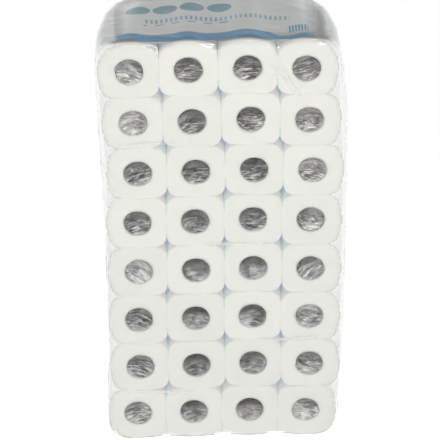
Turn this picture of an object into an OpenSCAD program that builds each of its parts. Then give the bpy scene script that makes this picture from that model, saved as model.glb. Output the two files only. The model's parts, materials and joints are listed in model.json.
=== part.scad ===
// Bulk pack of bathroom tissue rolls: four columns, eight rows and two layers of
// rolls pressed together inside one closed skin of clear film.
// Millimetres, +Z up, front of the pack towards -Y, origin at the middle of the base.

/* [Rolls] */
// Distance between the middles of two rolls that lie side by side
pitch_x = 95; // [80:1:130]
// Distance between the middles of two rolls that lie one above the other
pitch_z = 95; // [80:1:130]
// Length of one roll along its core
roll_len = 95; // [70:1:130]
// Corner radius of a roll pressed square by its neighbours
corner_r = 22; // [16:0.5:28]
// Gap left between pressed faces of neighbouring rolls
roll_gap = 0.4; // [0.2:0.1:0.8]
// Rise of the unpressed top of the highest rolls
bulge_top = 7; // [2:0.5:9]
// Rise of the unpressed underside of the lowest rolls
bulge_base = 4; // [2:0.5:9]
// Rise of the unpressed outer side of the first and last column
bulge_side = 3; // [2:0.5:9]

/* [Cores] */
// Outer diameter of the cardboard core
core_od = 45.6; // [36:0.1:50]
// Wall of the cardboard core
core_wall = 0.8; // [0.4:0.1:1.6]
// Radial gap between the core and the first turn of paper
core_gap = 0.15; // [0.1:0.05:0.3]
// Depth of the core's end below the end of the paper
core_inset = 0.5; // [0.1:0.1:2]

/* [Stacking] */
// Largest sideways slide of a whole row
row_slide = 5.2; // [0:0.1:8]
// Largest lift of a whole column
col_lift = 3; // [0:0.1:6]
// Gap between the front layer and the rear layer
layer_gap = 0.4; // [0.2:0.1:0.8]

/* [Film] */
// Wall of the film skin, thickened so that it holds as a solid
film_t = 0.4; // [0.3:0.05:1]
// Gap between the film and the rolls it touches
film_gap = 0.3; // [0.1:0.05:0.8]
// Width of the vertical seal at each end
seal_w = 18; // [8:1:30]
// Thickness of the layers folded into that seal
seal_t = 0.9; // [0.6:0.1:1.5]
// Thickness of the folded tucks at each end
tuck_t = 0.5; // [0.3:0.05:0.6]
// Width of the lap where the film closes along the back
lap_w = 30; // [10:1:60]
// Extra thickness of that lap
lap_t = 0.4; // [0.2:0.1:1]

/* [Hidden] */
cols = 4;
rows = 8;
// How far each row slides, top row first, as a share of row_slide
slide = [-1, -0.1, 0.9, 0.42, 0.4, 0.14, 0.17, -0.98];
// How far each column is lifted, left column first, as a share of col_lift
lift = [0, 0.33, 1, 0];
bury = 0.15;

roll_w = pitch_x - roll_gap;
roll_h = pitch_z - roll_gap;

// Inside of the film: pressed grid, plus bulges, slides and lifts, plus the gap
in_w = cols * pitch_x - roll_gap + 2 * (bulge_side + row_slide + film_gap);
in_h = rows * pitch_z - roll_gap + bulge_base + bulge_top + col_lift + 2 * film_gap;
in_d = 2 * roll_len + layer_gap + 2 * film_gap;
out_w = in_w + 2 * film_t;
out_h = in_h + 2 * film_t;
out_d = in_d + 2 * film_t;
film_r = corner_r + 8;

// The lap stands out at the back only, so the skin sits that much forward
mid_y = -lap_t / 2;
low_z = film_t + film_gap + bulge_base + roll_h / 2;
first_x = -(cols - 1) / 2 * pitch_x;

function roll_x(r, c) = first_x + (c - 1) * pitch_x + row_slide * slide[r - 1];
function roll_z(r, c) = low_z + (rows - r) * pitch_z + col_lift * lift[c - 1];

// Rectangle with round corners, centred
module rounded(w, h, r) {
    square([w - 2 * r, h], center = true);
    square([w, h - 2 * r], center = true);
    for (x = [-1, 1]) for (y = [-1, 1])
        translate([x * (w / 2 - r), y * (h / 2 - r)]) circle(r = r, $fn = 96);
}

// Shallow arc that raises one free side, drawn above a face at height top.
// At touch_r it would only touch the two corner arcs, so a smaller arc crosses them.
module bulge(w, top, rise) {
    flat = w / 2 - corner_r;
    touch_r = corner_r + rise / 2 + flat * flat / (2 * rise);
    arc_r = 0.85 * touch_r;
    reach = flat * touch_r / (touch_r - corner_r);
    intersection() {
        translate([0, top + rise - arc_r]) circle(r = arc_r, $fn = 180);
        translate([-reach, 0]) square([2 * reach, top + rise + 1]);
    }
}

// Cross-section of a roll; its free sides depend on its place in the stack
module roll_outline(r, c) {
    rounded(roll_w, roll_h, corner_r);
    if (r == 1) bulge(roll_w, roll_h / 2, bulge_top);
    if (r == rows) rotate(180) bulge(roll_w, roll_h / 2, bulge_base);
    if (c == 1) rotate(90) bulge(roll_h, roll_w / 2, bulge_side);
    if (c == cols) rotate(-90) bulge(roll_h, roll_w / 2, bulge_side);
}

// Stands a flat drawing up so that it faces the front, from y0 back by d
module upright(y0, d) {
    translate([0, y0 + d, 0]) rotate([90, 0, 0]) linear_extrude(height = d) children();
}

function layer_y(front) = mid_y + (front ? -layer_gap / 2 - roll_len : layer_gap / 2);

module paper(r, c, front) {
    color([0.95, 0.95, 0.93])
    translate([roll_x(r, c), 0, roll_z(r, c)])
        difference() {
            upright(layer_y(front), roll_len) roll_outline(r, c);
            translate([0, layer_y(front) - 1, 0]) rotate([-90, 0, 0])
                cylinder(h = roll_len + 2, r = core_od / 2 + core_gap, $fn = 96);
        }
}

module core(r, c, front) {
    color([0.66, 0.61, 0.54])
    translate([roll_x(r, c), layer_y(front) + core_inset, roll_z(r, c)])
        rotate([-90, 0, 0]) difference() {
            cylinder(h = roll_len - 2 * core_inset, r = core_od / 2, $fn = 96);
            translate([0, 0, -1])
                cylinder(h = roll_len + 2, r = core_od / 2 - core_wall, $fn = 96);
        }
}

module front_roll(r, c) { paper(r, c, true); }
module front_cores(r) { for (c = [1:cols]) core(r, c, true); }
module rear_rolls(r) { for (c = [1:cols]) paper(r, c, false); }
module rear_cores(r) { for (c = [1:cols]) core(r, c, false); }

// Folded layers on one end: two tucks that narrow towards the upright seal
module end_folds() {
    tall = out_h - 2 * film_r;
    run = out_d / 2 - seal_w / 2;
    for (s = [-1, 1])
        translate([out_w / 2 - bury, mid_y, out_h / 2]) rotate([90, 0, 90])
            linear_extrude(height = tuck_t + bury)
                polygon([[-out_d / 2, s * tall / 2], [out_d / 2, s * tall / 2],
                         [seal_w / 2, s * (tall / 2 - run)],
                         [-seal_w / 2, s * (tall / 2 - run)]]);
    translate([out_w / 2 - bury, mid_y - seal_w / 2, film_r])
        cube([seal_t + bury, seal_w, tall]);
}

module film_wrap() {
    color([0.82, 0.9, 0.94, 0.35]) {
        difference() {
            translate([0, 0, out_h / 2])
                upright(mid_y - out_d / 2, out_d) rounded(out_w, out_h, film_r);
            translate([0, 0, out_h / 2])
                upright(mid_y - in_d / 2, in_d) rounded(in_w, in_h, film_r - film_t);
        }
        end_folds();
        mirror([1, 0, 0]) end_folds();
        // lap along the back, between the round corners
        translate([-(out_w / 2 - film_r), mid_y + out_d / 2 - bury, out_h / 2 - lap_w / 2])
            cube([out_w - 2 * film_r, lap_t + bury, lap_w]);
    }
}

for (r = [1:rows]) for (c = [1:cols])
    front_roll(r, c);
for (r = [1:rows]) {
    front_cores(r);
    rear_rolls(r);
    rear_cores(r);
}
film_wrap();
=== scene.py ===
"""Bulk pack of bathroom tissue rolls in clear film: the looks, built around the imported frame."""

import json
import math

import bpy
import numpy as np
from bpy.props import (
    FloatProperty,
    FloatVectorProperty,
    IntProperty,
    PointerProperty,
    StringProperty,
)
from mathutils import Matrix, Vector
from mathutils.bvhtree import BVHTree

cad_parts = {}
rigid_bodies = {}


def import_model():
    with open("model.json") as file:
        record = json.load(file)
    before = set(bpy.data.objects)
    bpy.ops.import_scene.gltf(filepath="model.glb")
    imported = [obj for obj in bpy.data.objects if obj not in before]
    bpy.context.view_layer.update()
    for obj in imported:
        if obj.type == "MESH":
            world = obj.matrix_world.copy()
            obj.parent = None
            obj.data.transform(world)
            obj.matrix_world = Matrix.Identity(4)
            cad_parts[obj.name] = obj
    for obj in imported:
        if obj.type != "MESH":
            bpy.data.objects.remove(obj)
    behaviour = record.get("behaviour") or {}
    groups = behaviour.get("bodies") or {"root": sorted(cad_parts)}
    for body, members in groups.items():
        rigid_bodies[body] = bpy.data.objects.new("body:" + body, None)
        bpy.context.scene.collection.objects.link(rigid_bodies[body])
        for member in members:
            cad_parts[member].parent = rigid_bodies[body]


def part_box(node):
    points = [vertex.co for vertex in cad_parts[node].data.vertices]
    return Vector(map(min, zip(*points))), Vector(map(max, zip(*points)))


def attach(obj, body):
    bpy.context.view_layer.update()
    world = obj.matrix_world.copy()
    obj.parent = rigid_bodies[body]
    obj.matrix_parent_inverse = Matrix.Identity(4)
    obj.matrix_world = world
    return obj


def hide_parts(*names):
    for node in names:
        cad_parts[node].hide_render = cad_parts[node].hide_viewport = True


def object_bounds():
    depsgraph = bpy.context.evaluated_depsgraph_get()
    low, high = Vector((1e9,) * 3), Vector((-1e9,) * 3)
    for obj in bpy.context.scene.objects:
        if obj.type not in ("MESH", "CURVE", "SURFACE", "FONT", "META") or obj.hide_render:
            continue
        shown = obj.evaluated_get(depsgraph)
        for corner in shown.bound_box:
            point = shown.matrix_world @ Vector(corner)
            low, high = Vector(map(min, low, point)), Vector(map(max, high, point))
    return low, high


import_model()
CAD_BOX = [[float(c) for c in corner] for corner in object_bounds()]

bl_info = {
    "name": "Tissue roll pack",
    "version": (1, 0, 0),
    "blender": (4, 5, 0),
    "location": "3D View > Sidebar > Roll pack",
    "description": "Builds the rolls, cores and film of a bulk pack of bathroom tissue",
    "category": "Object",
}

MM = 0.001
ROWS, COLS = 8, 4
LOW, HIGH = (np.array(corner) for corner in CAD_BOX)


# ---------------------------------------------------------------- settings

class RollSettings(bpy.types.PropertyGroup):
    corner: FloatProperty(
        name="Corner radius", description="Corner of a roll pressed square by its neighbours",
        default=17.5 * MM, unit="LENGTH")
    rim: FloatProperty(
        name="Rim radius", description="Soft rounding where a roll's end meets its side",
        default=0.5 * MM, unit="LENGTH")
    rim_corner: FloatProperty(
        name="Rim radius at corners", description="The rim is rounder where nothing presses it",
        default=3 * MM, unit="LENGTH")
    rim_free: FloatProperty(
        name="Rim radius of free sides", description="Rounding where only the film holds a side",
        default=8 * MM, unit="LENGTH")
    paper: StringProperty(
        name="Paper", description="Colour of the tissue as sRGB hex", default="#F6F5F0")
    # painted blue light: pale blue painted on the rolls' sides deep in the gaps between them, and
    # into their painted glow
    painted_gap_blue: StringProperty(
        name="Pale print", description="Colour printed on the outer turns, sRGB hex",
        default="#5D9CC6")
    around: IntProperty(
        name="Steps around", description="Points around one roll", default=96, min=24)


class CoreSettings(bpy.types.PropertyGroup):
    board: StringProperty(
        name="Board", description="Colour of the grey board as sRGB hex", default="#4B4037")
    strip: FloatProperty(
        name="Strip width", description="Width of the board strip wound into the tube",
        default=70 * MM, unit="LENGTH")


class FilmSettings(bpy.types.PropertyGroup):
    haze: StringProperty(
        name="Haze", description="Colour of the light scattered in the film, sRGB hex",
        default="#F2F4F2")
    haze_in_folds: StringProperty(
        name="Haze in folds", description="Colour of the crumpled film over the cores, sRGB hex",
        default="#EDEBE7")
    band: StringProperty(
        name="Band", description="Colour of the printed band, sRGB hex", default="#62A0CC")
    ovals: StringProperty(
        name="Ovals", description="Colour of the printed ovals, sRGB hex", default="#84AFC0")
    suction: FloatProperty(
        name="Suction", description="Pull of the film into hollows, per metre of tension",
        default=36.0, min=0)
    gloss: FloatProperty(
        name="Roughness", description="Roughness of the blown film's skin", default=0.13,
        subtype="FACTOR")


class StudioSettings(bpy.types.PropertyGroup):
    camera_place: FloatVectorProperty(
        name="Camera", description="Place of the camera", size=3, subtype="XYZ",
        default=(-0.102, -4.9026, 3.4115))
    camera_turn: FloatVectorProperty(
        name="Camera turn", description="Yaw to the right, pitch down and roll, degrees",
        size=3, default=(1.16, 31.76, -0.65))
    lens: FloatProperty(
        name="Lens", description="Focal length on a 36 mm sensor, mm", default=281.3)
    floor: StringProperty(
        name="Floor", description="Colour of the studio floor, sRGB hex", default="#FAFAFA")


class PackSettings(bpy.types.PropertyGroup):
    roll: PointerProperty(type=RollSettings)
    core: PointerProperty(type=CoreSettings)
    film: PointerProperty(type=FilmSettings)
    studio: PointerProperty(type=StudioSettings)


def settings_of(context):
    return context.scene.roll_pack


# ---------------------------------------------------------------- measures

def linear(code):
    """An sRGB hex colour as linear RGBA."""
    parts = [int(code[i:i + 2], 16) / 255 for i in (1, 3, 5)]
    return (*[c / 12.92 if c <= 0.04045 else ((c + 0.055) / 1.055) ** 2.4 for c in parts], 1.0)


def smoothstep(low, high, x):
    t = np.clip((np.asarray(x, float) - low) / (high - low), 0, 1)
    return t * t * (3 - 2 * t)


def lattice(cells, seed):
    """A repeatable value from -1 to 1 for each whole-number cell."""
    c = cells.astype(np.int64)
    h = c[..., 0] * 374761393 + c[..., 1] * 668265263 + c[..., 2] * 2147483647 + seed * 974634777
    h = (h ^ (h >> 13)) * 1274126177 & 0xFFFFFFFF
    h = (h ^ (h >> 16)) * 2246822519 & 0xFFFFFFFF
    return (h & 0xFFFFFF) / 0x7FFFFF - 1.0


def noise(points, size, seed=0):
    """Smooth noise from about -1 to 1 at points, with features of that size."""
    p = np.asarray(points, float) / size
    cell = np.floor(p)
    f = p - cell
    f = f * f * (3 - 2 * f)
    total = 0.0
    for dx in (0, 1):
        for dy in (0, 1):
            for dz in (0, 1):
                weight = (np.where(dx, f[..., 0], 1 - f[..., 0])
                          * np.where(dy, f[..., 1], 1 - f[..., 1])
                          * np.where(dz, f[..., 2], 1 - f[..., 2]))
                total = total + weight * lattice(cell + [dx, dy, dz], seed)
    return total


def node_box(name):
    lo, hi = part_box(name)
    return np.array(lo), np.array(hi)


def cell_boxes():
    """For each row and column: the front roll's box."""
    return {(r, c): node_box(f"front_roll_row{r}_col{c}")
            for r in range(1, ROWS + 1) for c in range(1, COLS + 1)}


ROLL_BOX = cell_boxes()
# An inner roll is pressed on all four sides, so its box is the size of a pressed roll
INNER = ROLL_BOX[2, 2]
PRESSED = (INNER[1] - INNER[0])[[0, 2]]
FRONT_Y = INNER[0][1]
ROLL_LENGTH = INNER[1][1] - INNER[0][1]
REAR_BOX = node_box("rear_rolls_row1")
CORE_BOX = node_box("front_cores_row1")


def centre_of(row, col):
    """Axis of a roll: its pressed sides are the ones its free sides don't change."""
    lo, hi = ROLL_BOX[row, col]
    x = (hi[0] - PRESSED[0] / 2) if col == 1 else (lo[0] + PRESSED[0] / 2)
    z = (lo[2] + PRESSED[1] / 2) if row < ROWS else (hi[2] - PRESSED[1] / 2)
    return np.array([x, z])


CENTRES = {key: centre_of(*key) for key in ROLL_BOX}
CORE_OUT = (CORE_BOX[1][0] - CORE_BOX[0][0] - (CENTRES[1, COLS][0] - CENTRES[1, 1][0])) / 2
CORE_WALL = 0.8 * MM
LAYER_MID = (INNER[1][1] + REAR_BOX[0][1]) / 2
DEPTH = REAR_BOX[1][1] - FRONT_Y
TOP_Z = ROLL_BOX[1, 1][1][2]


def squeeze(points):
    """The film's pull at its closed ends draws the upper rear corners inwards and down."""
    inwards, down, reach_down, reach_in = 30 * MM, 20 * MM, 58 * MM, 80 * MM
    p = np.array(points, float)
    depth = np.clip((p[:, 1] - FRONT_Y) / DEPTH, 0, 1) ** 1.25
    below = (TOP_Z - p[:, 2]) / reach_down
    aside = (ROLL_BOX[1, COLS][1][0] - np.abs(p[:, 0])) / reach_in
    near = np.exp(-np.clip(below, -0.3, 9) ** 2 - np.clip(aside, -0.3, 9) ** 2)
    p[:, 0] -= np.sign(p[:, 0]) * inwards * depth * near
    p[:, 2] -= down * depth * near * np.exp(-np.clip(aside, 0, 9))
    return p


# ---------------------------------------------------------------- meshes

def add_mesh(name, points, faces, material, floats=None, corners=None):
    """A smooth-shaded object that rides on the root, with named float attributes."""
    mesh = bpy.data.meshes.new(name)
    mesh.from_pydata([tuple(p) for p in np.asarray(points, float)], [], faces)
    mesh.polygons.foreach_set("use_smooth", [True] * len(mesh.polygons))
    for key, values in (floats or {}).items():
        mesh.attributes.new(key, "FLOAT", "POINT").data.foreach_set(
            "value", np.asarray(values, np.float32))
    for key, values in (corners or {}).items():
        mesh.attributes.new(key, "FLOAT", "CORNER").data.foreach_set(
            "value", np.asarray(values, np.float32))
    mesh.materials.append(material)
    mesh.update()
    made = bpy.data.objects.new(name, mesh)
    bpy.context.scene.collection.objects.link(made)
    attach(made, "root")
    return made


def ring_faces(rings, steps, start=0):
    """Quads of a tube of rings whose last ring joins the first, like a long doughnut."""
    faces = []
    for i in range(rings):
        a, b = start + i * steps, start + ((i + 1) % rings) * steps
        for j in range(steps):
            k = (j + 1) % steps
            faces.append((a + j, b + j, b + k, a + k))
    return faces


def rounded_distance(x, z, half_w, half_h, radius):
    qx, qz = np.abs(x) - (half_w - radius), np.abs(z) - (half_h - radius)
    outside = np.hypot(np.maximum(qx, 0), np.maximum(qz, 0))
    return outside + np.minimum(np.maximum(qx, qz), 0) - radius


def bulge_distance(x, z, half_w, top, rise, corner):
    """Distance to the arc that raises a free side, as the CAD source draws it."""
    flat = half_w - corner
    touch = corner + rise / 2 + flat * flat / (2 * rise)
    reach = flat * touch / (touch - corner)
    circle = np.hypot(x, z - (top + rise - 0.85 * touch)) - 0.85 * touch
    return np.maximum(circle, np.maximum(np.abs(x) - reach, -z))


def outline(angles, corner, rises):
    """Distance from a roll's axis to its outer turn, for rises (top, base, left, right)."""
    # pressed rolls all but meet, across the gap that the CAD leaves between them
    meeting, halvings = 0.19 * MM, 26
    half_w, half_h = PRESSED / 2 + meeting
    near, far = np.full_like(angles, 20 * MM), np.full_like(angles, 90 * MM)
    for _ in range(halvings):
        t = (near + far) / 2
        x, z = t * np.cos(angles), t * np.sin(angles)
        d = rounded_distance(x, z, half_w, half_h, corner)
        for rise, (u, v, w, h) in zip(rises, ((x, z, half_w, half_h), (x, -z, half_w, half_h),
                                              (z, -x, half_h, half_w), (z, x, half_h, half_w))):
            if rise > 0.1 * MM:
                d = np.minimum(d, bulge_distance(u, v, w, h, rise, corner))
        near, far = np.where(d < 0, t, near), np.where(d < 0, far, t)
    return near


def free_rises(row, col):
    """How far the free sides of the roll in this place stand out."""
    lo, hi = ROLL_BOX[row, col]
    x, z = CENTRES[row, col]
    half_w, half_h = PRESSED / 2
    return (hi[2] - z - half_h, z - lo[2] - half_h, x - lo[0] - half_w, hi[0] - x - half_w)


def roll_profile(length):
    """Rings of one roll from its front bore round its outside.

    Each is (share of the way out, inset in rim radii, y, rim radii that y is moved by)."""
    face = [0.0, 0.06, 0.2, 0.36, 0.52, 0.68, 0.84]
    turn = [math.radians(a) for a in (0, 22, 45, 67, 90)]
    rings = [(e, e, 0.0, 0.0) for e in face]
    rings += [(1.0, 1 - math.sin(a), 0.0, 1 - math.cos(a)) for a in turn]
    rings += [(1.0, 0.0, length * s, 0.0) for s in (0.12, 0.3, 0.5, 0.7, 0.88)]
    rings += [(1.0, 1 - math.sin(a), length, math.cos(a) - 1) for a in reversed(turn)]
    rings += [(e, e, length, 0.0) for e in reversed(face[::2])]
    rings += [(0.0, 0.0, length * 0.6, 0.0), (0.0, 0.0, length * 0.1, 0.0)]
    return rings


def roll_shape(row, col, front, settings):
    """Points, faces and attributes of one wound roll."""
    seed = row * 17 + col * 5 + (0 if front else 400)
    random = np.random.default_rng(seed)
    steps = settings.around
    angles = np.linspace(0, 2 * math.pi, steps, endpoint=False)
    corner = settings.corner * random.uniform(0.93, 1.1)
    outer = outline(angles, corner, free_rises(row, col))
    outer = (np.roll(outer, 1) + 2 * outer + np.roll(outer, -1)) / 4
    bore = CORE_OUT + 0.15 * MM
    x0, z0 = CENTRES[row, col]
    sunk = random.uniform(0.1, 0.5) * MM
    lean_x, lean_z = random.uniform(-0.008, 0.008, 2)
    if front:
        y0, length = FRONT_Y + sunk, ROLL_LENGTH - sunk
    else:
        y0, length = REAR_BOX[0][1], ROLL_LENGTH - sunk
    points, turn, depth, hollow = [], [], [], []
    walled = (np.where(np.sin(angles) > 0, row > 1, row < ROWS)
              & np.where(np.cos(angles) > 0, col < COLS, col > 1))
    diagonal = np.abs(np.sin(2 * angles)) ** 3
    # painted glow: the sides of the rolls glow a little, except the top sides of the top row
    glowing = np.where((np.sin(angles) > 0) & (row == 1), 0.0, 1.0)
    rim = settings.rim + (settings.rim_corner - settings.rim) * diagonal
    # only the front end of the top row is free to round off under the film
    soft = smoothstep(0.35, 0.8, np.sin(angles)) * (row == 1 and front)
    for share, inset, along, moved in roll_profile(length):
        bend = rim + (settings.rim_free - rim) * soft * (along < length / 2)
        radius = bore + (outer - bore) * share - inset * bend
        y = along + moved * bend
        x, z = radius * np.cos(angles), radius * np.sin(angles)
        # the open end is what shows: it leans a little and its turns stand unevenly
        at_end = (1 - y / length) if front else y / length
        out = -1 if front else 1
        crown = 0.36 * MM * math.sin(math.pi * share) * out
        wave = 0.27 * MM * noise(np.stack([x + x0, z + z0, 0 * x], 1), 21 * MM, seed)
        shift = at_end ** 2 * (lean_x * x + lean_z * z + crown + wave)
        if front:
            shift = np.maximum(shift, -sunk)
        points.append(np.stack([x + x0, y0 + y + shift, z + z0], 1))
        turn.append(np.full(steps, share))
        reach = np.minimum(y, length - y)
        # painted blue light: a share of pale blue on the sides that neighbours wall in, deep in the
        # gaps between rolls
        depth.append(walled * smoothstep(9 * MM, 46 * MM, reach) * (share >= 1))
        # painted glow: how much each side glows, more towards the corners and less near the roll's
        # ends
        hollow.append(glowing * np.maximum(diagonal ** 0.4, 0.5)
                      * smoothstep(-1 * MM, 5 * MM, reach) * (share >= 1))
    rings = len(points)
    points = squeeze(np.concatenate(points))
    faces = ring_faces(rings, steps)
    return points, faces, {"turn": np.concatenate(turn), "painted_blue_share": np.concatenate(depth),
                           "hollow": np.concatenate(hollow),
                           "lot": np.full(len(points), (seed % 23) / 23)}


def joined(shapes):
    """Several (points, faces, floats) as one."""
    points, faces, floats, start = [], [], {}, 0
    for some, quads, values in shapes:
        points.append(some)
        faces += [tuple(i + start for i in quad) for quad in quads]
        for key, value in values.items():
            floats.setdefault(key, []).append(value)
        start += len(some)
    return np.concatenate(points), faces, {k: np.concatenate(v) for k, v in floats.items()}


# ---------------------------------------------------------------- materials

MATH, VECTOR_MATH, MIX = "ShaderNodeMath", "ShaderNodeVectorMath", "ShaderNodeMix"
NOISE, SPAN, BUMP = "ShaderNodeTexNoise", "ShaderNodeMapRange", "ShaderNodeBump"
PLACE, ATTRIBUTE = "ShaderNodeTexCoord", "ShaderNodeAttribute"
SKIN, SURFACE = "ShaderNodeBsdfPrincipled", "ShaderNodeOutputMaterial"
PLUS, MINUS, TIMES, OVER = ({"operation": word} for word in (
    "ADD", "SUBTRACT", "MULTIPLY", "DIVIDE"))
LARGER, BELOW, ABOVE = ({"operation": word} for word in ("MAXIMUM", "LESS_THAN", "GREATER_THAN"))
FRACTION, WAVE = {"operation": "FRACT"}, {"operation": "SINE"}
CAPPED_PLUS, CAPPED_TIMES = ({"operation": word, "use_clamp": True} for word in (
    "ADD", "MULTIPLY"))
COLOURS = {"data_type": "RGBA"}
FIRST, SECOND = 6, 7  # the two colour sockets of a Mix node
RIDGED = {"noise_type": "RIDGED_MULTIFRACTAL", "normalize": False}


def add(tree, kind, settings=None, *sources):
    """Adds a node with its settings and links.

    settings holds the node's own values, and its sockets by name or number. sources fill its
    sockets in order. A node given as a source is linked by the first output that it has in use."""
    made = tree.nodes.new(kind)
    for key, value in {**(settings or {}), **dict(enumerate(sources))}.items():
        if isinstance(key, str) and hasattr(made, key) and key not in made.inputs:
            setattr(made, key, value)
            continue
        if isinstance(value, bpy.types.Node):
            value = next(socket for socket in value.outputs if socket.enabled)
        if isinstance(value, bpy.types.NodeSocket):
            tree.links.new(value, made.inputs[key])
        else:
            made.inputs[key].default_value = value
    return made


def new_material(name):
    """An empty node material and its tree."""
    made = bpy.data.materials.new(name)
    made.use_nodes = True
    made.node_tree.nodes.clear()
    return made, made.node_tree


def shade(colour, *shares):
    """A linear colour with its channels made darker or lighter, alike or one by one."""
    return (*[float(min(c * s, 1)) for c, s in zip(colour, shares * (3 // len(shares)))], 1.0)


def creped_tissue(settings):
    """Two-ply tissue, creped dry off the cylinder and wound.

    It is matt and soft to the eye, with a fuzzy sheen, pulp clumps and faint rings at its ends."""
    made, tree = new_material("creped_tissue")
    place = add(tree, PLACE).outputs["Object"]
    turn, painted_blue_share, lot, hollow = (
        add(tree, ATTRIBUTE, {"attribute_name": word}).outputs["Fac"]
        for word in ("turn", "painted_blue_share", "lot", "hollow"))
    # Turns are 0.2 mm thick, too fine to show, so about ten of them are drawn as one ridge
    ridges = 13.0
    warp = add(tree, NOISE, {"Scale": 1 / (16.7 * MM), "Detail": 2.0}, place)
    wound = add(tree, MATH, PLUS, add(tree, MATH, TIMES, turn, ridges),
                add(tree, MATH, TIMES, warp, 1.4))
    ridge = add(tree, MATH, WAVE, add(tree, MATH, TIMES, wound, 2 * math.pi))
    # Crepe lines stand 0.4 mm apart and are drawn at 1.5 mm, as pulp clumps are
    crepe = add(tree, NOISE, {"Scale": 1 / (1.5 * MM), "Detail": 3.0}, place)
    # The web is pressed unevenly over 26 mm or so
    soft = add(tree, NOISE, {"Scale": 1 / (26 * MM), "Detail": 2.0}, place)
    uneven = add(tree, MATH, PLUS, add(tree, MATH, TIMES, crepe, 0.35),
                 add(tree, MATH, TIMES, soft, 1.6))
    height = add(tree, MATH, PLUS, add(tree, MATH, TIMES, ridge, 0.12), uneven)
    bump = add(tree, BUMP, {"Strength": 0.35, "Distance": 0.8 * MM, "Height": height})
    paper, painted_gap_blue = linear(settings.paper), linear(settings.painted_gap_blue)
    # one roll is a little greyer than the next, and each is mottled
    grey = add(tree, MATH, PLUS, soft, add(tree, MATH, TIMES, lot, 0.5))
    mottled = add(tree, MIX, {**COLOURS, FIRST: paper, SECOND: shade(paper, 0.93, 0.935, 0.93)},
                  add(tree, MATH, CAPPED_TIMES, grey, 0.6))
    ringed = add(tree, MIX, {**COLOURS, FIRST: mottled, SECOND: shade(paper, 0.8)},
                 add(tree, MATH, CAPPED_TIMES, add(tree, MATH, PLUS, ridge, 1.0), 0.02))
    # painted blue light: pale blue on the sides deep in the gaps between rolls
    printed = add(tree, MIX, {**COLOURS, FIRST: ringed, SECOND: painted_gap_blue},
                  add(tree, MATH, CAPPED_TIMES, painted_blue_share, 0.9))
    # painted glow: the rolls' sides glow a little, in dimmed paper colour and in pale blue deep in
    # the gaps, so the hollows between rolls aren't dark
    painted_glow = add(tree, MIX, {**COLOURS, FIRST: shade(paper, 0.55), SECOND: painted_gap_blue}, painted_blue_share)
    painted_glow = add(tree, MIX, {**COLOURS, FIRST: (0, 0, 0, 1), SECOND: painted_glow}, hollow)
    skin = add(tree, SKIN, {
        "Roughness": 0.95, "IOR": 1.45, "Sheen Weight": 0.15, "Sheen Roughness": 0.6,
        "Emission Strength": 0.2, "Base Color": printed, "Emission Color": painted_glow,
        "Normal": bump})
    add(tree, SURFACE, None, skin)
    return made


def wound_grey_board(settings):
    """Recycled grey board, slit into strips, wound in a spiral and glued.

    It looks matt and flecked, with a dark slanting seam where the strip's edges meet."""
    made, tree = new_material("wound_grey_board")
    place = add(tree, PLACE).outputs["Object"]
    around, along = (add(tree, ATTRIBUTE, {"attribute_name": word}).outputs["Fac"]
                     for word in ("around", "along"))
    slant = add(tree, MATH, FRACTION, add(tree, MATH, PLUS, around, along))
    seam = add(tree, MATH, BELOW, slant, 0.02)
    # Fibre clumps and flecks in the board are about 2.5 mm across
    fibres = add(tree, NOISE, {"Scale": 1 / (2.5 * MM), "Detail": 4.0}, place)
    board = linear(settings.board)
    flecked = add(tree, MIX, {**COLOURS, FIRST: shade(board, 0.75), SECOND: shade(board, 1.2)},
                  fibres)
    seamed = add(tree, MIX, {**COLOURS, FIRST: flecked, SECOND: shade(board, 0.35)},
                 add(tree, MATH, TIMES, seam, 0.6))
    bump = add(tree, BUMP, {"Strength": 0.3, "Distance": 0.4 * MM,
                            "Height": add(tree, MATH, MINUS, fibres, seam)})
    skin = add(tree, SKIN, {"Roughness": 0.85, "IOR": 1.5, "Base Color": seamed, "Normal": bump})
    add(tree, SURFACE, None, skin)
    return made


def within(tree, value, low, high, edge):
    """1 where value lies from low to high, with soft edges."""
    up = add(tree, SPAN, {"From Min": low - edge, "From Max": low + edge}, value)
    down = add(tree, SPAN, {"From Min": high - edge, "From Max": high + edge,
                            "To Min": 1.0, "To Max": 0.0}, value)
    return add(tree, MATH, TIMES, up, down)


def comb(tree, value, pitch, share):
    """1 over a share of each pitch along value, and 0 over the rest."""
    return add(tree, MATH, BELOW, add(tree, MATH, FRACTION, add(
        tree, MATH, OVER, value, pitch)), share)


def printed_band(tree, x, back, left, right):
    """A solid band along the front of the pack's top, thinner at its right-hand end."""
    front, rear, cut = 6 * MM, 30 * MM, 12 * MM
    thin = add(tree, SPAN, {"From Min": 78 * MM, "From Max": 95 * MM, "To Min": 0.0,
                            "To Max": cut}, x)
    kept = add(tree, MATH, BELOW, add(tree, MATH, PLUS, back, thin), rear)
    band = add(tree, MATH, TIMES, within(tree, back, front, rear, 0.8 * MM), kept)
    return add(tree, MATH, TIMES, band, within(tree, x, left, right, 0.6 * MM))


def printed_ovals(tree, x, y):
    """A plain row of four equal ovals towards the rear of the top."""
    half_wide, half_deep, pitch, behind = 20 * MM, 14 * MM, 44 * MM, 114 * MM
    ovals = None
    dy = add(tree, MATH, OVER, add(tree, MATH, MINUS, y, FRONT_Y + behind), half_deep)
    for place in range(4):
        centre = pitch * (place - 3)
        dx = add(tree, MATH, OVER, add(tree, MATH, MINUS, x, centre), half_wide)
        far = add(tree, MATH, PLUS, add(tree, MATH, TIMES, dx, dx),
                  add(tree, MATH, TIMES, dy, dy))
        one = add(tree, MATH, BELOW, far, 1.0)
        ovals = one if ovals is None else add(tree, MATH, LARGER, ovals, one)
    return ovals


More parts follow.
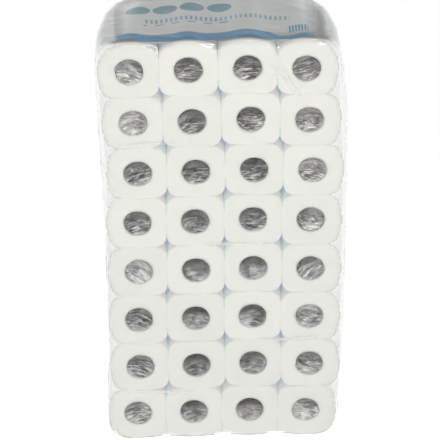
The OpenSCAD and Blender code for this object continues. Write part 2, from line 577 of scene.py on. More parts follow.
def printed_marks(tree, x, back):
    """Two rows of dashes and a striped patch."""
    marks = None
    for front, thick, pitch, last, ink in ((70 * MM, 13 * MM, 8 * MM, 113 * MM, 0.5),
                                           (62 * MM, 3 * MM, 26 * MM, 20 * MM, 0.7)):
        row = add(tree, MATH, TIMES, within(tree, back, front, front + thick, 1.2 * MM),
                  within(tree, x, -123 * MM, last, 1 * MM))
        row = add(tree, MATH, TIMES, add(tree, MATH, TIMES, row, comb(tree, x, pitch, 0.5)), ink)
        marks = row if marks is None else add(tree, MATH, LARGER, marks, row)
    patch = add(tree, MATH, TIMES, within(tree, back, 27 * MM, 50 * MM, 0.8 * MM),
                within(tree, x, 108 * MM, 141 * MM, 0.8 * MM))
    patch = add(tree, MATH, TIMES, patch, comb(tree, x, 5 * MM, 0.6))
    return add(tree, MATH, LARGER, marks, patch)


def milky_ground(tree, x, y, back, left, right):
    """The thin milky ground that is printed under the rest of the top's print."""
    begins = add(tree, SPAN, {"From Min": 8 * MM, "From Max": 34 * MM}, back)
    ground = add(tree, MATH, TIMES, within(tree, x, left, right, 14 * MM), begins)
    ends = within(tree, y, FRONT_Y - 1 * MM, FRONT_Y + DEPTH - 30 * MM, 16 * MM)
    return add(tree, MATH, TIMES, ground, ends)


def print_masks(tree, place):
    """Where the film's top carries its band, its ovals, its small marks and its milky ground."""
    x, y, z = add(tree, "ShaderNodeSeparateXYZ", None, place).outputs
    # the film was drawn on unevenly, so the print wanders by a few millimetres
    wobble = add(tree, NOISE, {"Scale": 1 / (60 * MM), "Detail": 1.0}, place)
    drift = add(tree, MATH, TIMES, add(tree, MATH, MINUS, wobble, 0.5), 9 * MM)
    back = add(tree, MATH, MINUS, add(tree, MATH, MINUS, y, FRONT_Y), drift)
    top = add(tree, MATH, TIMES, add(tree, MATH, ABOVE, z, TOP_Z - 31 * MM),
              add(tree, MATH, BELOW, y, FRONT_Y + DEPTH - 4 * MM))
    left, right = LOW[0] + 34 * MM, HIGH[0] - 50 * MM
    masks = (printed_band(tree, x, back, left, right), printed_ovals(tree, x, y),
             printed_marks(tree, x, back), milky_ground(tree, x, y, back, left, right))
    return [add(tree, MATH, TIMES, mask, top) for mask in masks]


def film_folds(tree, place):
    """Fields of the film's folds: sheets, creases, threads and patches over a core, and draws."""
    fold = add(tree, "ShaderNodeCombineXYZ", None, *(
        add(tree, ATTRIBUTE, {"attribute_name": word}).outputs["Fac"]
        for word in ("fold_u", "fold_v", "fold_w")))
    # Folds pulled across a core stand 4 to 8 mm apart and run several times as long
    drawn = add(tree, VECTOR_MATH, TIMES, fold, (0.3, 1.0, 1.0))
    sheets = add(tree, NOISE, {"Scale": 1 / (8 * MM), "Detail": 3.0, "Roughness": 0.6,
                               "Distortion": 1.2}, drawn)
    creases = add(tree, NOISE, {**RIDGED, "Scale": 1 / (9 * MM), "Detail": 3.0, "Roughness": 0.5,
                                "Lacunarity": 2.1, "Offset": 0.85, "Gain": 1.6,
                                "Distortion": 1.1}, drawn)
    # The finest threads are under 1 mm wide and are drawn at 2.6 mm
    finer = add(tree, VECTOR_MATH, TIMES, fold, (0.16, 1.0, 1.0))
    threads = add(tree, NOISE, {"Scale": 1 / (2.6 * MM), "Detail": 1.0, "Distortion": 1.5}, finer)
    # The film lies double in patches 20 mm or so across
    patches = add(tree, NOISE, {"Scale": 1 / (22 * MM), "Detail": 1.0, "Distortion": 0.6}, fold)
    # Away from the cores the film only shows long shallow draws, 20 to 40 mm apart
    long = add(tree, VECTOR_MATH, TIMES, place, (0.5, 1.0, 2.2))
    draws = add(tree, NOISE, {**RIDGED, "Scale": 1 / (42 * MM), "Detail": 4.0, "Roughness": 0.45,
                              "Offset": 0.9, "Gain": 1.5, "Distortion": 0.5}, long)
    return sheets, creases, threads, patches, draws


def film_bump(tree, hole, clear, layers, sheets, creases, draws):
    """Folds over the cores, and long draws over the rest of the film."""
    over_core = add(tree, MATH, PLUS, add(tree, MATH, TIMES, creases, 0.5),
                    add(tree, MATH, TIMES, sheets, 2.4))
    slack = add(tree, MATH, PLUS, add(tree, MATH, TIMES, layers, 0.25), 0.3)
    height = add(tree, MATH, PLUS, add(tree, MATH, TIMES, hole, over_core),
                 add(tree, MATH, TIMES, clear, add(tree, MATH, TIMES, draws, slack)))
    return add(tree, BUMP, {"Strength": 1.0, "Distance": 1.5 * MM, "Height": height})


def film_ink(tree, hole, band, ovals, marks, settings):
    """Colour of what the film scatters or carries in print."""
    ink = add(tree, MIX, {**COLOURS, FIRST: linear(settings.haze),
                          SECOND: linear(settings.haze_in_folds)}, hole)
    ink = add(tree, MIX, {**COLOURS, FIRST: ink, SECOND: linear(settings.ovals)}, ovals)
    blue = add(tree, MATH, LARGER, band, add(tree, MATH, CAPPED_TIMES, marks, 1.4))
    return add(tree, MIX, {**COLOURS, FIRST: ink, SECOND: linear(settings.band)}, blue)


def haze_and_glints_over_cores(tree, sheets, creases, threads, patches):
    """How much the crumpled film over a core hides: an even milkiness with painted light that grows
    towards the core's lower part, and folds whose white haze is partly painted highlight, most of it
    low in the core.
    """
    haze_and_painted_light, lit = (add(tree, ATTRIBUTE, {"attribute_name": word}).outputs["Fac"]
                 for word in ("haze_and_painted_light", "lit"))
    folded = add(tree, SPAN, {"From Min": 0.43, "From Max": 0.72, "To Max": 0.5}, sheets)
    thready = add(tree, SPAN, {"From Min": 0.53, "From Max": 0.68, "To Max": 0.62}, threads)
    lines = add(tree, SPAN, {"From Min": 1.2, "From Max": 2.0, "To Max": 1.0}, creases)
    doubled = add(tree, SPAN, {"From Min": 0.35, "From Max": 0.65, "To Min": 0.3,
                               "To Max": 1.5}, patches)
    folds = add(tree, MATH, PLUS, add(tree, MATH, PLUS, folded, thready), lines)
    return add(tree, MATH, PLUS, add(tree, MATH, TIMES, haze_and_painted_light, doubled),
               add(tree, MATH, TIMES, folds, lit))


def film_cover(tree, hole, clear, layers, crinkles_and_glints, draws, printed):
    """How much the film hides of what lies behind it."""
    stand, crest = (add(tree, ATTRIBUTE, {"attribute_name": word}).outputs["Fac"]
                    for word in ("stand", "crest"))
    facing = add(tree, "ShaderNodeLayerWeight", {"Blend": 0.3}).outputs["Facing"]
    veiled = add(tree, MATH, PLUS, add(tree, MATH, TIMES, stand, 0.13),
                 add(tree, MATH, TIMES, crest, 0.4))
    single = add(tree, MATH, PLUS, add(tree, MATH, TIMES, facing, 0.3), 0.03)
    milky = add(tree, MATH, PLUS, add(tree, MATH, TIMES, hole, crinkles_and_glints),
                add(tree, MATH, TIMES, clear, single))
    # loose film lies in several layers, and hides more the flatter it is seen
    several = add(tree, MATH, PLUS, add(tree, MATH, TIMES, facing, 0.9), 0.75)
    several = add(tree, MATH, PLUS, add(tree, MATH, TIMES, draws, 0.14), several)
    layered = add(tree, MATH, LARGER, add(tree, MATH, TIMES, layers, several), printed)
    return add(tree, MATH, CAPPED_PLUS, add(tree, MATH, PLUS, milky, veiled), layered)


def blown_film(settings):
    """Clear polyethylene, blown as a thin tube, printed on its top and shrunk tight.

    It is glossy and almost unseen where it lies flat, and milky where it folds or hangs loose. Over
    the cores its haze carries painted light and painted highlights, growing towards each core's
    lower part."""
    made, tree = new_material("blown_film")
    place = add(tree, PLACE).outputs["Object"]
    hole, layers = (add(tree, ATTRIBUTE, {"attribute_name": word}).outputs["Fac"]
                    for word in ("hole", "layers"))
    clear = add(tree, MATH, MINUS, 1.0, hole)
    sheets, creases, threads, patches, draws = film_folds(tree, place)
    bump = film_bump(tree, hole, clear, layers, sheets, creases, draws)
    band, ovals, marks, ground = print_masks(tree, place)
    ink = film_ink(tree, hole, band, ovals, marks, settings)
    printed = add(tree, MATH, PLUS, add(tree, MATH, TIMES, ovals, 0.6),
                  add(tree, MATH, TIMES, marks, 0.32))
    printed = add(tree, MATH, PLUS, add(tree, MATH, TIMES, band, 0.72), printed)
    printed = add(tree, MATH, LARGER, printed, add(tree, MATH, TIMES, ground, 0.75))
    crinkles_and_glints = haze_and_glints_over_cores(tree, sheets, creases, threads, patches)
    cover = film_cover(tree, hole, clear, layers, crinkles_and_glints, draws, printed)
    milky = add(tree, SKIN, {"Roughness": 0.4, "IOR": 1.5, "Base Color": ink, "Normal": bump})
    bare = add(tree, "ShaderNodeBsdfTransparent", {"Color": (0.985, 0.99, 0.995, 1)})
    body = add(tree, "ShaderNodeMixShader", None, cover, bare, milky)
    shine = add(tree, "ShaderNodeBsdfGlossy", {"Roughness": settings.gloss,
                                               "Color": (1, 1, 1, 1), "Normal": bump})
    # both faces of the film mirror, so the share is more than that of one face
    mirror = add(tree, MATH, CAPPED_TIMES,
                 add(tree, "ShaderNodeFresnel", {"IOR": 1.5, "Normal": bump}), 1.1)
    add(tree, SURFACE, None, add(tree, "ShaderNodeMixShader", None, mirror, body, shine))
    return made


def studio_card(settings):
    """White studio card, lit from within a little so that it stays pale beside the pack."""
    made, tree = new_material("studio_card")
    card = add(tree, SKIN, {"Base Color": linear(settings.floor), "Roughness": 0.9,
                            "Emission Color": (1, 1, 1, 1), "Emission Strength": 0.56})
    add(tree, SURFACE, None, card)
    return made


# ---------------------------------------------------------------- film shape

FILM_X, FILM_Z, FILM_Y = 168, 324, 80  # steps across, up and from front to rear; all even


def side_reach(z, left):
    """How far the film stands out beside a row: it is loose beside the upper ones."""
    rows = (8, 7, 5, 3, 2, 1)
    reach = (195, 193.6, 193.8, 199, 202, 205) if left else (197, 202, 206, 207, 207, 196)
    return np.interp(z, [CENTRES[r, 1][1] for r in rows], np.array(reach) * MM)


def film_outline(share_x, share_z, depth):
    """A point of the film's base form from shares -1 to 1 across and up, and 0 to 1 deep."""
    slack = np.sin(np.pi * np.clip(depth, 0, 1)) ** 0.45
    # the corners are roundest at the base, and sharpest at the top where the film hangs slack
    radius = np.where(share_z > 0, 30 - 17 * slack, 36) * MM
    half_w, half_h = 199.5 * MM, (TOP_Z - 0.4 * MM) / 2
    ring = np.maximum(np.abs(share_x), np.abs(share_z))
    x, z = share_x * half_w, share_z * half_h
    # the square ring through this point gets round corners
    limit_w, limit_h = ring * half_w, ring * half_h
    r = np.minimum(radius * ring, np.minimum(limit_w, limit_h))
    qx, qz = np.abs(x) - (limit_w - r), np.abs(z) - (limit_h - r)
    corner = (qx > 0) & (qz > 0)
    length = np.where(corner, np.hypot(qx, qz), 1)
    longest = np.where(corner, np.maximum(qx, qz), 1)
    scale = np.where(corner, longest / np.maximum(length, 1e-9), 1)
    x = np.where(corner, np.sign(x) * (limit_w - r + qx * scale), x)
    z = np.where(corner, np.sign(z) * (limit_h - r + qz * scale), z)
    z = z + half_h
    loose = np.where(x < 0, side_reach(z, True), side_reach(z, False))
    row_shift = np.interp(z, [CENTRES[r, 1][1] for r in range(ROWS, 0, -1)],
                          [CENTRES[r, 1][0] for r in range(ROWS, 0, -1)]) - np.mean(
        [CENTRES[r, 1][0] for r in range(1, ROWS + 1)])
    tight = np.where(x < 0, 193.2 * MM - row_shift, 193.2 * MM + row_shift)
    x = x / half_w * (tight + (np.maximum(loose, tight) - tight) * slack)
    return x, z


def film_edge():
    """Steps (across, up) once round the film's front or rear face."""
    return ([(i, 0) for i in range(FILM_X)] + [(FILM_X, k) for k in range(FILM_Z)]
            + [(i, FILM_Z) for i in range(FILM_X, 0, -1)] + [(0, k) for k in range(FILM_Z, 0, -1)])


def film_grid():
    """Steps and faces of the closed film, as one box-shaped grid."""
    index, steps = {}, []

    def put(i, k, j):
        key = (i, k, j)
        if key not in index:
            index[key] = len(steps)
            steps.append(key)
        return index[key]

    quads = []
    for j, flip in ((0, False), (FILM_Y, True)):
        for i in range(FILM_X):
            for k in range(FILM_Z):
                quad = (put(i, k, j), put(i + 1, k, j), put(i + 1, k + 1, j), put(i, k + 1, j))
                quads.append(quad[::-1] if flip else quad)
    edge = film_edge()
    for j in range(FILM_Y):
        for a, b in zip(edge, edge[1:] + edge[:1]):
            quads.append((put(*a, j), put(*a, j + 1), put(*b, j + 1), put(*b, j)))
    return np.array(steps), np.array(quads)


def neighbours(count, quads):
    """Up to four neighbours of each point; a missing one is the point itself."""
    pairs = np.concatenate([quads[:, [a, (a + 1) % 4]] for a in range(4)])
    pairs = np.unique(np.concatenate([pairs, pairs[:, ::-1]]), axis=0)
    order = np.arange(len(pairs)) - np.searchsorted(pairs[:, 0], pairs[:, 0])
    table = np.tile(np.arange(count)[:, None], (1, 4))
    keep = order < 4
    table[pairs[keep, 0], order[keep]] = pairs[keep, 1]
    return table


def normals_of(points, quads):
    a, b, c, d = (points[quads[:, i]] for i in range(4))
    face = np.cross(c - a, d - b)
    total = np.zeros_like(points)
    for i in range(4):
        np.add.at(total, quads[:, i], face)
    return total / np.maximum(np.linalg.norm(total, axis=1, keepdims=True), 1e-12)


def fold_axes(points):
    """Local coordinates along and across the folds drawn into each core, and its share of hole."""
    hole, haze_and_painted_light, lit = (np.zeros(len(points)) for _ in range(3))
    u, v, w = points[:, 0].copy(), points[:, 2].copy(), points[:, 1].copy()
    front = points[:, 1] < LAYER_MID
    for (row, col), (cx, cz) in CENTRES.items():
        for side, chosen in ((0, front), (1, ~front)):
            dx, dz = points[:, 0] - cx, points[:, 2] - cz
            r = np.hypot(dx, dz)
            near = chosen & (r < 30 * MM) & (np.abs(points[:, 1] - LAYER_MID) > 60 * MM)
            random = np.random.default_rng(row * 31 + col * 7 + side * 1000)
            outer = col in (1, COLS)
            turn = random.uniform(-0.35, 0.35) + (random.uniform(-0.5, 0.5) if outer else 0)
            bend = random.uniform(-12, 12)
            a, b = dx[near] * math.cos(turn) + dz[near] * math.sin(turn), (
                dz[near] * math.cos(turn) - dx[near] * math.sin(turn))
            u[near], v[near] = a, b + bend * a * a
            w[near] = row * 0.37 + col * 0.19 + side
            hole[near] = 1 - smoothstep(CORE_OUT - 0.8 * MM, CORE_OUT + 1.6 * MM, r[near])
            # the film is slacker over the outer columns; towards each core's lower part the haze
            # grows as painted light, and the folds' white haze as painted highlights
            slack = random.uniform(0.06, 0.25) if outer else random.uniform(0.0, 0.05)
            # the lower inner cores are covered more smoothly, and show their board from below: their
            # folds get fewer painted highlights, and all but their top gets more even haze as
            # painted light
            calm = 0.0 if outer or row < 5 else 1.0
            haze_and_painted_light[near] = slack + 0.14 * smoothstep(0.2, -1, dz[near] / CORE_OUT) + (
                0.14 * calm * smoothstep(0.6, 0.1, dz[near] / CORE_OUT))
            # painted highlights: how much the folds show white haze, strongest towards the core's
            # lower part
            lit[near] = (0.22 + 0.66 * smoothstep(0.8, -0.6, dz[near] / CORE_OUT) + slack) * (
                1 - 0.45 * calm)
    return u, v, w, hole, haze_and_painted_light, lit


def slack_share(points):
    """1 where the film hangs loose past the ends of the rows, 0 where it is drawn tight."""
    aside = smoothstep(158 * MM, 186 * MM, np.abs(points[:, 0]))
    inside = np.minimum(points[:, 1] - FRONT_Y, FRONT_Y + DEPTH - points[:, 1])
    return aside * smoothstep(-1 * MM, 9 * MM, inside)


def relaxed_film(rolls, settings):
    """The film as a stretched skin: it rests on the rolls and is sucked into every hollow."""
    off_paper, over_rolls, step, rounds = 0.25 * MM, 0.3 * MM, 2.4 * MM, 700
    keys, quads = film_grid()
    sx, sz = keys[:, 0] / FILM_X * 2 - 1, keys[:, 1] / FILM_Z * 2 - 1
    depth = keys[:, 2] / FILM_Y
    x, z = film_outline(sx, sz, depth)
    y = FRONT_Y - over_rolls + depth * (DEPTH + 2 * over_rolls)
    base = squeeze(np.stack([x, y, z], 1))
    normal = normals_of(base, quads)
    tree = BVHTree.FromPolygons([tuple(p) for p in rolls[0]], rolls[1])
    stand, furthest = 25 * MM, 60 * MM
    gap = np.empty(len(base))
    for i, (point, out) in enumerate(zip(base + normal * stand, -normal)):
        hit = tree.ray_cast(Vector(point), Vector(out), furthest + stand)
        gap[i] = furthest if hit[0] is None else hit[3] - stand
    gap -= off_paper
    loose = slack_share(base)
    # loose film stands out by itself, and the level top and base are sucked in less
    hold = 0.25 * loose
    level = normal[:, 2] ** 2
    pull = settings.suction * step ** 2 / 4 * (1 - loose) * (1 - 0.8 * level)
    around = neighbours(len(base), quads)
    sink = np.minimum(gap, 1 * MM)
    for _ in range(rounds):
        sink = np.minimum((sink[around].mean(1) + pull) / (1 + hold), gap)
    return base, normal, quads, keys, sink, gap, around


# Long folds on the front, each from one point to another: x and z as shares of the half width
# and of the height
LONG_FOLDS = ((0.36, 0.945, 0.66, 0.855), (0.44, 0.95, 0.62, 0.865), (-0.95, 0.748, -0.35, 0.755),
              (-0.2, 0.503, 0.45, 0.498), (0.3, 0.25, 0.93, 0.262), (-0.85, 0.125, -0.2, 0.12))


def long_folds(points):
    """Height of the long folds at each point."""
    total = np.zeros(len(points))
    flat = points[:, [0, 2]]
    for x0, z0, x1, z1 in LONG_FOLDS:
        start = np.array([x0 * HIGH[0], z0 * HIGH[2]])
        run = np.array([x1 * HIGH[0], z1 * HIGH[2]]) - start
        share = np.clip(((flat - start) @ run) / (run @ run), 0, 1)
        away = np.linalg.norm(flat - start - share[:, None] * run, axis=1)
        total += np.exp(-(away / (2.6 * MM)) ** 2) * np.sin(np.pi * np.clip(share, 0.02, 0.98))
    return total * (points[:, 1] < LAYER_MID)


def film_wrinkles(points, normal, folds, free):
    """Folds big enough to be real shape: draws between the rolls and pleats at the ends."""
    u, v, w, hole = folds
    crease = 1 - 2 * np.abs(noise(np.stack([u * 0.35, v, w], 1), 8 * MM, 21))
    beside = np.abs(normal[:, 0]) ** 2
    ahead = 1 - beside
    draw = 1 - np.abs(noise(points * [1, 1, 1.6], 34 * MM, 3)) ** 0.6
    slant = 1 - np.abs(noise(np.stack([points[:, 0] + 0.7 * points[:, 2],
                                       points[:, 1], 0.3 * points[:, 2]], 1), 46 * MM, 9)) ** 0.5
    pleat = noise(np.stack([points[:, 1] * 4, 0 * points[:, 0], points[:, 2]], 1), 80 * MM, 5)
    taut = 1 - 2 * np.abs(noise(np.stack([points[:, 1], 0 * points[:, 0], points[:, 2] * 2.2], 1),
                                60 * MM, 6))
    fine = noise(points, 9 * MM, 7)
    amount = ahead * (0.35 * MM * draw + 0.35 * MM * slant) * (1 - hole)
    amount = amount + ahead * 1.1 * MM * long_folds(points)
    amount = amount + beside * (1.2 * MM * pleat + 0.9 * MM * taut) * (
        0.4 + 0.6 * smoothstep(0, 4 * MM, free))
    return amount + hole * (0.9 * MM * crease + 0.3 * MM * fine)


FILM_FIELDS = ("hole", "haze_and_painted_light", "lit", "layers", "stand", "crest", "fold_u", "fold_v", "fold_w")


def film_faces(keys, quads):
    """Faces of the film and the points they use: every step in front, every second elsewhere."""
    front = keys[:, 2] == 0
    used = front | (keys % 2 == 0).all(1)
    order = {tuple(key): i for i, key in enumerate(keys.tolist())}
    faces = [tuple(quad) for quad in quads[front[quads].all(1)]]
    edge = film_edge()
    for n in range(0, len(edge), 2):
        a, middle, b = edge[n], edge[n + 1], edge[(n + 2) % len(edge)]
        for j in range(0, FILM_Y, 2):
            face = [order[(*a, j)], order[(*a, j + 2)], order[(*b, j + 2)], order[(*b, j)]]
            if j == 0:
                face.append(order[(*middle, 0)])
            faces.append(tuple(face))
    for i in range(0, FILM_X, 2):
        for k in range(0, FILM_Z, 2):
            corners = ((i, k), (i, k + 2), (i + 2, k + 2), (i + 2, k))
            faces.append(tuple(order[(*corner, FILM_Y)] for corner in corners))
    renumber = np.cumsum(used) - 1
    return [tuple(int(renumber[i]) for i in face) for face in faces], used


def film_veil(base, normal, hole, free, around):
    """How milky the film looks where it stands off the paper."""
    # it is milkiest where it nearly touches the paper, and beside the outer rolls
    margin = smoothstep(158 * MM, 184 * MM, np.abs(base[:, 0]))
    upright = np.maximum(smoothstep(0.6, 0.95, np.abs(normal[:, 1])), margin)
    stand = smoothstep(0.05 * MM, 0.8 * MM, free) * (1 - hole) * upright * (
        1.7 - 0.7 * smoothstep(2 * MM, 8 * MM, free) + 4.4 * margin)
    # beside the outer rolls the milkiness spreads a little way over the paper
    spread = stand
    for _ in range(5):
        spread = spread[around].mean(1)
    return stand + (np.maximum(spread, stand) - stand) * (1 - hole) * margin


def build_film(rolls, material, settings):
    """The film skin, with the fields that its material reads at each point."""
    base, normal, quads, keys, sink, gap, around = relaxed_film(rolls, settings)
    u, v, w, hole, haze_and_painted_light, lit = fold_axes(base)
    points = base - normal * sink[:, None]
    free = gap - sink
    out = film_wrinkles(base, normal, (u, v, w, hole), free)
    # no fold goes into the floor or through the paper
    lowest = points[:, 2] + normal[:, 2] * out
    out = np.where(lowest < 0.3 * MM, 0, out)
    points = points + normal * np.maximum(out, -np.maximum(free, 0) * 0.9)[:, None]
    points[:, 2] = np.maximum(points[:, 2], 0.1 * MM)
    layers = slack_share(base) * (0.8 + 0.2 * noise(
        np.stack([base[:, 1] * 5, 0 * sink, base[:, 2]], 1), 60 * MM, 11))
    faces, used = film_faces(keys, quads)
    stand = film_veil(base, normal, hole, free, around)
    fields = (hole, haze_and_painted_light, lit, layers, stand, long_folds(base), u, v, w)
    return add_mesh("film_skin", points[used], faces, material,
                    {key: value[used] for key, value in zip(FILM_FIELDS, fields)})


def laid_sheet(name, surface, rows, thick, material, ripple=0.0):
    """A thin sheet that lies on a surface; rows hold (across, along) places on it.

    It has its outer side and its rim, and is open below, where it lies on the film."""
    places = np.array(rows, float)
    count, wide = places.shape[:2]
    under, normal = surface(places[..., 0], places[..., 1])
    # every second row stands up by the ripple, as a crimped seal does
    over = under + normal * (thick + ripple * (np.arange(count) % 2)[:, None, None])
    under = under + normal * 0.05 * MM
    points = np.concatenate([over.reshape(-1, 3), under.reshape(-1, 3)])
    half = count * wide
    faces = []
    for i in range(count - 1):
        for j in range(wide - 1):
            a = i * wide + j
            faces.append((a, a + 1, a + wide + 1, a + wide))
    rim = list(range(wide - 1))
    rim += [i * wide + wide - 1 for i in range(count - 1)]
    rim += [half - 1 - j for j in range(wide - 1)]
    rim += [(count - 1 - i) * wide for i in range(count - 1)]
    for a, b in zip(rim, rim[1:] + rim[:1]):
        faces.append((b, a, a + half, b + half))
    # the outer side has to face outwards, or the film mirrors like glass seen from within
    if np.cross(over[0, 1] - over[0, 0], over[1, 0] - over[0, 0]) @ normal[0, 0] < 0:
        faces = [face[::-1] for face in faces]
    values = dict.fromkeys(FILM_FIELDS, np.zeros(len(points)))
    values["layers"] = np.full(len(points), 0.6)
    add_mesh(name, points, faces, material, values)


def film_surface(skin, toward):
    """A function from (across, up) to points and normals on one face of the film."""
    tree = BVHTree.FromObject(skin, bpy.context.evaluated_depsgraph_get())
    aim = -Vector(toward)

    def surface(across, up):
        points, normals = np.zeros((*across.shape, 3)), np.zeros((*across.shape, 3))
        for at in np.ndindex(across.shape):
            start = Vector((across[at], 0, up[at])) if toward[1] else Vector((0, across[at], up[at]))
            hit, normal, _, _ = tree.ray_cast(start - aim * 0.4, aim)
            points[at] = hit
            normals[at] = toward
        return points, normals
    return surface


END_MARGIN, SEAL_HALF = 40 * MM, 9 * MM  # end folds from base and top, and half their seal


def tuck_rows(upper, steps):
    """Places of one folded-in end: a trapezoid whose sides run in at 45 degrees."""
    inset, seal = 12 * MM, SEAL_HALF
    mid, reach = FRONT_Y + DEPTH / 2, DEPTH / 2 - inset
    edge = TOP_Z - END_MARGIN if upper else END_MARGIN
    run = (seal - reach) if upper else (reach - seal)
    return [[(mid + (reach + (seal - reach) * t) * a, edge + run * t)
             for a in np.linspace(-1, 1, steps)] for t in np.linspace(0, 1, steps)]


# ---------------------------------------------------------------- operators

class MakeFrontRolls(bpy.types.Operator):
    """Makes the rolls of the front layer, each as its own piece"""

    bl_idname = "roll_pack.front_rolls"
    bl_label = "Front rolls"

    def execute(self, context):
        settings = settings_of(context).roll
        paper = creped_tissue(settings)
        for row, col in CENTRES:
            points, faces, floats = roll_shape(row, col, True, settings)
            made = add_mesh(f"tissue_roll_front_{row}_{col}", points, faces, paper,
                            floats)
            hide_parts(f"front_roll_row{row}_col{col}")
        return {"FINISHED"}


class MakeRearRolls(bpy.types.Operator):
    """Makes the rolls of the rear layer, one piece for each row"""

    bl_idname = "roll_pack.rear_rolls"
    bl_label = "Rear rolls"

    def execute(self, context):
        settings = settings_of(context).roll
        paper = bpy.data.materials["creped_tissue"]
        for row in range(1, ROWS + 1):
            shapes = [roll_shape(row, col, False, settings) for col in range(1, COLS + 1)]
            points, faces, floats = joined(shapes)
            made = add_mesh(f"tissue_rolls_rear_{row}", points, faces, paper, floats)
            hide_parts(f"rear_rolls_row{row}")
        return {"FINISHED"}


def core_shape(row, col, front, strip):
    """One wound tube, a little out of round, with its ends just inside the paper."""
    random = np.random.default_rng(row * 13 + col * 3 + (0 if front else 700))
    steps = 64
    angles = np.linspace(0, 2 * math.pi, steps, endpoint=False)
    squash, way = random.uniform(0.1, 0.5) * MM, random.uniform(0, math.pi)
    inset = random.uniform(0.6, 2.2) * MM
    start = (FRONT_Y if front else REAR_BOX[0][1]) + inset
    length = ROLL_LENGTH - inset - 0.6 * MM
    wobble = squash * (np.cos(2 * (angles - way)) - 1)
    lip, inner = 0.25 * MM, CORE_OUT - CORE_WALL
    rings = [(inner, length * s) for s in (0.75, 0.5, 0.25, 0.08)]
    rings += [(inner, lip), (inner + lip, 0.0), (CORE_OUT - lip, 0.0), (CORE_OUT, lip)]
    rings += [(CORE_OUT, length * 0.5), (CORE_OUT, length - lip), (CORE_OUT - lip, length),
              (inner + lip, length), (inner, length - lip)]
    x0, z0 = CENTRES[row, col]
    points = np.concatenate([np.stack([x0 + (radius + wobble) * np.cos(angles),
                                       np.full(steps, start + y),
                                       z0 + (radius + wobble) * np.sin(angles)], 1)
                             for radius, y in rings])
    faces = ring_faces(len(rings), steps)
    around, along = [], []
    for i in range(len(rings)):
        ys = rings[i][1], rings[(i + 1) % len(rings)][1]
        for j in range(steps):
            around += [j / steps, j / steps, (j + 1) / steps, (j + 1) / steps]
            along += [ys[0] / strip, ys[1] / strip, ys[1] / strip, ys[0] / strip]
    return squeeze(points), faces, {}, np.array(around), np.array(along)


class MakeCores(bpy.types.Operator):
    """Makes the wound board cores of both layers, one piece for each row and layer"""

    bl_idname = "roll_pack.cores"
    bl_label = "Cores"

    def execute(self, context):
        settings = settings_of(context).core
        board = wound_grey_board(settings)
        for front, word in ((True, "front"), (False, "rear")):
            for row in range(1, ROWS + 1):
                shapes = [core_shape(row, col, front, settings.strip)
                          for col in range(1, COLS + 1)]
                points, faces, _ = joined([s[:3] for s in shapes])
                made = add_mesh(
                    f"board_cores_{word}_{row}", points, faces, board,
                    corners={"around": np.concatenate([s[3] for s in shapes]),
                             "along": np.concatenate([s[4] for s in shapes])})
                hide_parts(f"{word}_cores_row{row}")
        return {"FINISHED"}


def all_rolls():
    """Every roll's points and faces, for the film to rest on."""
    shapes = []
    for made in bpy.context.scene.objects:
        if made.name.startswith("tissue_roll"):
            mesh = made.data
            points = np.empty(len(mesh.vertices) * 3)
            mesh.vertices.foreach_get("co", points)
            faces = np.empty(len(mesh.loops), np.int32)
            mesh.loops.foreach_get("vertex_index", faces)
            shapes.append((points.reshape(-1, 3), faces.reshape(-1, 4).tolist(), {}))
    points, faces, _ = joined(shapes)
    return points, faces


class MakeFilm(bpy.types.Operator):
    """Makes the film skin, drawn tight over the rolls"""

    bl_idname = "roll_pack.film"
    bl_label = "Film"

    def execute(self, context):
        settings = settings_of(context).film
        made = build_film(all_rolls(), blown_film(settings), settings)
        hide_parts("film_wrap")
        return {"FINISHED"}


class MakeEndFolds(bpy.types.Operator):
    """Makes the film's folded and sealed ends, at the left and the right"""

    bl_idname = "roll_pack.end_folds"
    bl_label = "End folds"

    def execute(self, context):
        skin, film = bpy.data.objects["film_skin"], bpy.data.materials["blown_film"]
        mid = FRONT_Y + DEPTH / 2
        for side, toward in (("left", (-1, 0, 0)), ("right", (1, 0, 0))):
            surface = film_surface(skin, toward)
            for upper, word in ((True, "upper"), (False, "lower")):
                laid_sheet(f"{side}_{word}_tuck", surface, tuck_rows(upper, 25), 0.5 * MM, film)
            seal = [[(mid + a * MM, z) for a in (-9, -5, 0, 5, 9)]
                    for z in np.arange(END_MARGIN, TOP_Z - END_MARGIN, 1.8 * MM)]
            laid_sheet(f"{side}_seal", surface, seal, 0.7 * MM, film, 0.35 * MM)
        return {"FINISHED"}


class MakeBackLap(bpy.types.Operator):
    """Makes the lap along the back where the film's long edges are welded"""

    bl_idname = "roll_pack.back_lap"
    bl_label = "Back lap"

    def execute(self, context):
        surface = film_surface(bpy.data.objects["film_skin"], (0, 1, 0))
        middle, half = (TOP_Z + LOW[2]) / 2, 15 * MM
        rows = [[(x, middle + half * a) for a in (1, 0.5, 0, -0.5, -1)]
                for x in np.linspace(-160 * MM, 160 * MM, 120)]
        laid_sheet("back_lap", surface, rows, 0.4 * MM, bpy.data.materials["blown_film"])
        return {"FINISHED"}


def light_room(tree):
    """White walls and a dimmer ceiling, which light the pack from all around."""
    walls, ceiling = (0.97, 0.985, 1.0, 1), (0.305, 0.31, 0.307, 1)
    way = add(tree, PLACE).outputs["Generated"]
    height = add(tree, "ShaderNodeSeparateXYZ", None, way).outputs["Z"]
    rise = add(tree, SPAN, {"From Min": 0.25, "From Max": 0.62}, height)
    colour = add(tree, MIX, {**COLOURS, FIRST: walls, SECOND: ceiling}, rise)
    tree.links.new(colour.outputs[2], tree.nodes["Background"].inputs["Color"])


def soft_box(name, place, aim, width, height, power, tone=(1, 1, 1)):
    """An area lamp aimed at a point."""
    lamp = bpy.data.lights.new(name, "AREA")
    lamp.shape, lamp.size, lamp.size_y = "RECTANGLE", width, height
    lamp.energy, lamp.color = power, tone
    made = bpy.data.objects.new(name, lamp)
    made.location = place
    made.rotation_mode = "QUATERNION"
    made.rotation_quaternion = (Vector(aim) - Vector(place)).to_track_quat("-Z", "Y")
    bpy.context.scene.collection.objects.link(made)


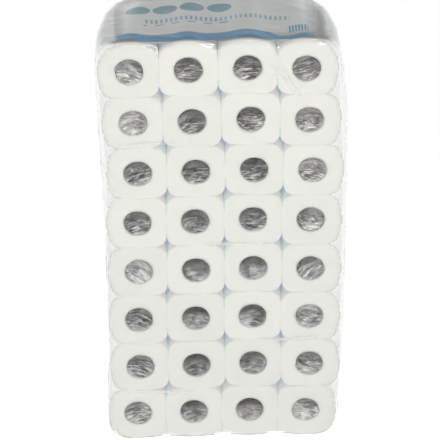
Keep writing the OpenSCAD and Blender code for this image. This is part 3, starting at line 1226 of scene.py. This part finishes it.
class MakeStudio(bpy.types.Operator):
    """Makes the floor, the lamps, the pale room and the camera"""

    bl_idname = "roll_pack.studio"
    bl_label = "Studio"

    def execute(self, context):
        settings = settings_of(context).studio
        reach = 14.0
        mesh = bpy.data.meshes.new("studio_floor")
        mesh.from_pydata([(x * reach, y * reach, 0) for x, y in
                          ((-1, -1), (1, -1), (1, 1), (-1, 1))], [], [(0, 1, 2, 3)])
        mesh.materials.append(studio_card(settings))
        floor = bpy.data.objects.new("studio_floor", mesh)
        context.scene.collection.objects.link(floor)
        world = bpy.data.worlds.new("pale_room")
        world.use_nodes = True
        light_room(world.node_tree)
        context.scene.world = world
        aim = (0, 0, (TOP_Z + LOW[2]) / 2)
        # a wide warm lamp high in front, and a small low one for glints in the folds
        soft_box("key_softbox", (-0.6, -3.4, 2.1), aim, width=2.2, height=1.6, power=22,
                 tone=(1, 0.965, 0.92))
        soft_box("glint_softbox", (0.6, -3.2, 0.5), aim, width=0.6, height=0.3, power=9)
        self.make_camera(context, settings)
        context.scene.view_settings.view_transform = "Standard"
        return {"FINISHED"}

    def make_camera(self, context, settings):
        yaw, pitch, roll = (math.radians(a) for a in settings.camera_turn)
        forward = Vector((math.sin(yaw) * math.cos(pitch), math.cos(yaw) * math.cos(pitch),
                          -math.sin(pitch)))
        level = forward.cross(Vector((0, 0, 1))).normalized()
        up = level.cross(forward)
        right = math.cos(roll) * level + math.sin(roll) * up
        above = -math.sin(roll) * level + math.cos(roll) * up
        camera = bpy.data.cameras.new("camera")
        camera.lens, camera.sensor_width = settings.lens, 36
        camera.clip_end = 100
        made = bpy.data.objects.new("camera", camera)
        turn = Matrix((right, above, -forward)).transposed().to_4x4()
        made.matrix_world = Matrix.Translation(settings.camera_place) @ turn
        context.scene.collection.objects.link(made)
        context.scene.camera = made


OPERATORS = (MakeFrontRolls, MakeRearRolls, MakeCores, MakeFilm, MakeEndFolds, MakeBackLap,
             MakeStudio)


class RollPackPanel(bpy.types.Panel):
    """Lists the pieces of the pack, in the order that they are made"""

    bl_idname = "VIEW3D_PT_roll_pack"
    bl_label = "Roll pack"
    bl_space_type = "VIEW_3D"
    bl_region_type = "UI"
    bl_category = "Roll pack"

    def draw(self, context):
        for maker in OPERATORS:
            self.layout.operator(maker.bl_idname)
        for group in ("roll", "core", "film", "studio"):
            settings = getattr(settings_of(context), group)
            for key in settings.bl_rna.properties.keys():
                if key not in ("rna_type", "name"):
                    self.layout.prop(settings, key)


CLASSES = (RollSettings, CoreSettings, FilmSettings, StudioSettings, PackSettings,
           *OPERATORS, RollPackPanel)


def register():
    for one in CLASSES:
        bpy.utils.register_class(one)
    bpy.types.Scene.roll_pack = PointerProperty(type=PackSettings)


def unregister():
    del bpy.types.Scene.roll_pack
    for one in reversed(CLASSES):
        bpy.utils.unregister_class(one)


def main():
    register()
    bpy.ops.roll_pack.front_rolls()
    bpy.ops.roll_pack.rear_rolls()
    bpy.ops.roll_pack.cores()
    bpy.ops.roll_pack.film()
    bpy.ops.roll_pack.end_folds()
    bpy.ops.roll_pack.back_lap()
    bpy.ops.roll_pack.studio()


if __name__ == "__main__":
    main()
